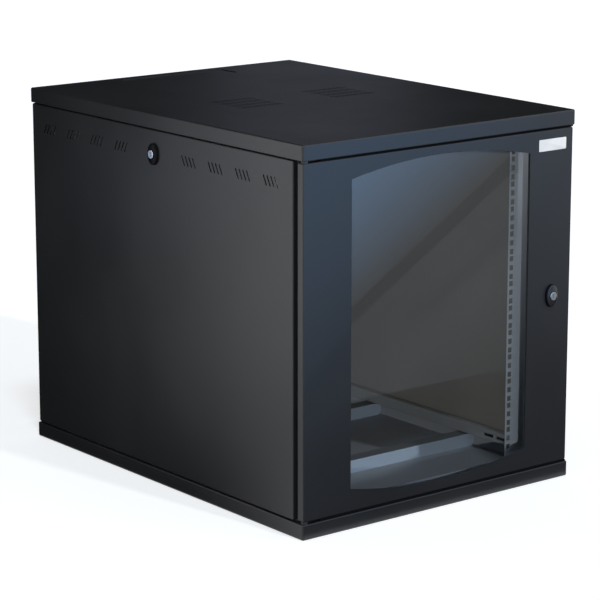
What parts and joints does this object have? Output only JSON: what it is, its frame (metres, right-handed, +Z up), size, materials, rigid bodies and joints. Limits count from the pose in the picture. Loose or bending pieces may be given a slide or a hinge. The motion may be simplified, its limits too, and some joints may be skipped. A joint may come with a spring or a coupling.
{
  "type": "wall mount network cabinet",
  "caption": "Black steel wall mount network cabinet with a glazed front door, arched window, lift-off side panels, quarter turn locks, 19 inch rails and vent slots.",
  "frame": {"origin": "centre of the underside of the base tray", "axes": "+Z up, the door faces -Y, +X towards the door's lock side, the wall is on the +Y side"},
  "size_m": [0.6128, 0.8057, 0.658],
  "materials": {
    "black_powder_coat": "satin",
    "grey_steel": "satin",
    "tinted_glass": "polished",
    "foam_seal": "matte",
    "zinc": "zinc plated",
    "nylon": "matte",
    "black_lock": "gloss",
    "chrome": "polished"
  },
  "bodies": {
    "cabinet": {"base_tray": "black_powder_coat", "top_cover": "black_powder_coat", "base_cable_plate": "black_powder_coat", "top_cable_plate": "black_powder_coat", "front_post_left": "black_powder_coat", "front_post_right": "black_powder_coat", "rear_post_left": "black_powder_coat", "rear_post_right": "black_powder_coat", "front_sill": "black_powder_coat", "front_header": "black_powder_coat", "rear_panel": "black_powder_coat", "rack_rail_left": "grey_steel", "rack_rail_right": "grey_steel", "lower_channel_left": "grey_steel", "lower_channel_right": "grey_steel", "upper_channel_left": "grey_steel", "upper_channel_right": "grey_steel", "floor_bar_front": "grey_steel", "floor_bar_rear": "grey_steel", "cable_plate_screws": "zinc", "rail_bolts": "zinc", "rail_nuts": "zinc", "rear_panel_rivets": "zinc", "wall_spacers": "zinc", "earth_stud": "zinc", "earth_nut": "zinc", "hinge_pin_lower": "zinc", "hinge_pin_upper": "zinc"},
    "door": {"door_frame": "black_powder_coat", "door_glass": "tinted_glass", "glass_gasket": "foam_seal", "glass_retainer_left": "black_powder_coat", "glass_retainer_right": "black_powder_coat", "retainer_studs": "zinc", "retainer_nuts": "zinc", "hinge_bush_lower": "nylon", "hinge_bush_upper": "nylon", "door_lock_body": "black_lock", "door_lock_nut": "zinc"},
    "door_lock": {"door_lock_plug": "chrome", "door_lock_cam": "zinc", "door_lock_cam_screw": "zinc"},
    "left_panel": {"side_panel_left": "black_powder_coat", "side_panel_pegs_left": "zinc", "left_lock_body": "black_lock", "left_lock_nut": "zinc"},
    "left_lock": {"left_lock_plug": "chrome", "left_lock_cam": "zinc", "left_lock_cam_screw": "zinc"},
    "right_panel": {"side_panel_right": "black_powder_coat", "side_panel_pegs_right": "zinc", "right_lock_body": "black_lock", "right_lock_nut": "zinc"},
    "right_lock": {"right_lock_plug": "chrome", "right_lock_cam": "zinc", "right_lock_cam_screw": "zinc"}
  },
  "joints": [
    {"name": "door_hinge", "type": "hinge", "parent": "cabinet", "child": "door", "pos_m": [-0.29, -0.391, 0.329], "axis": [0, 0, -1], "range_deg": [0, 180]},
    {"name": "door_lock_turn", "type": "hinge", "parent": "door", "child": "door_lock", "pos_m": [0.252, -0.3975, 0.335], "axis": [0, -1, 0], "range_deg": [0, 90]},
    {"name": "left_panel_off", "type": "slide", "parent": "cabinet", "child": "left_panel", "axis": [-1, 0, 0], "range_m": [0, 0.15]},
    {"name": "left_lock_turn", "type": "hinge", "parent": "left_panel", "child": "left_lock", "pos_m": [-0.2982, 0.0125, 0.588], "axis": [-1, 0, 0], "range_deg": [0, 90]},
    {"name": "right_panel_off", "type": "slide", "parent": "cabinet", "child": "right_panel", "axis": [1, 0, 0], "range_m": [0, 0.15]},
    {"name": "right_lock_turn", "type": "hinge", "parent": "right_panel", "child": "right_lock", "pos_m": [0.2982, 0.0125, 0.588], "axis": [1, 0, 0], "range_deg": [0, 90]}
  ]
}
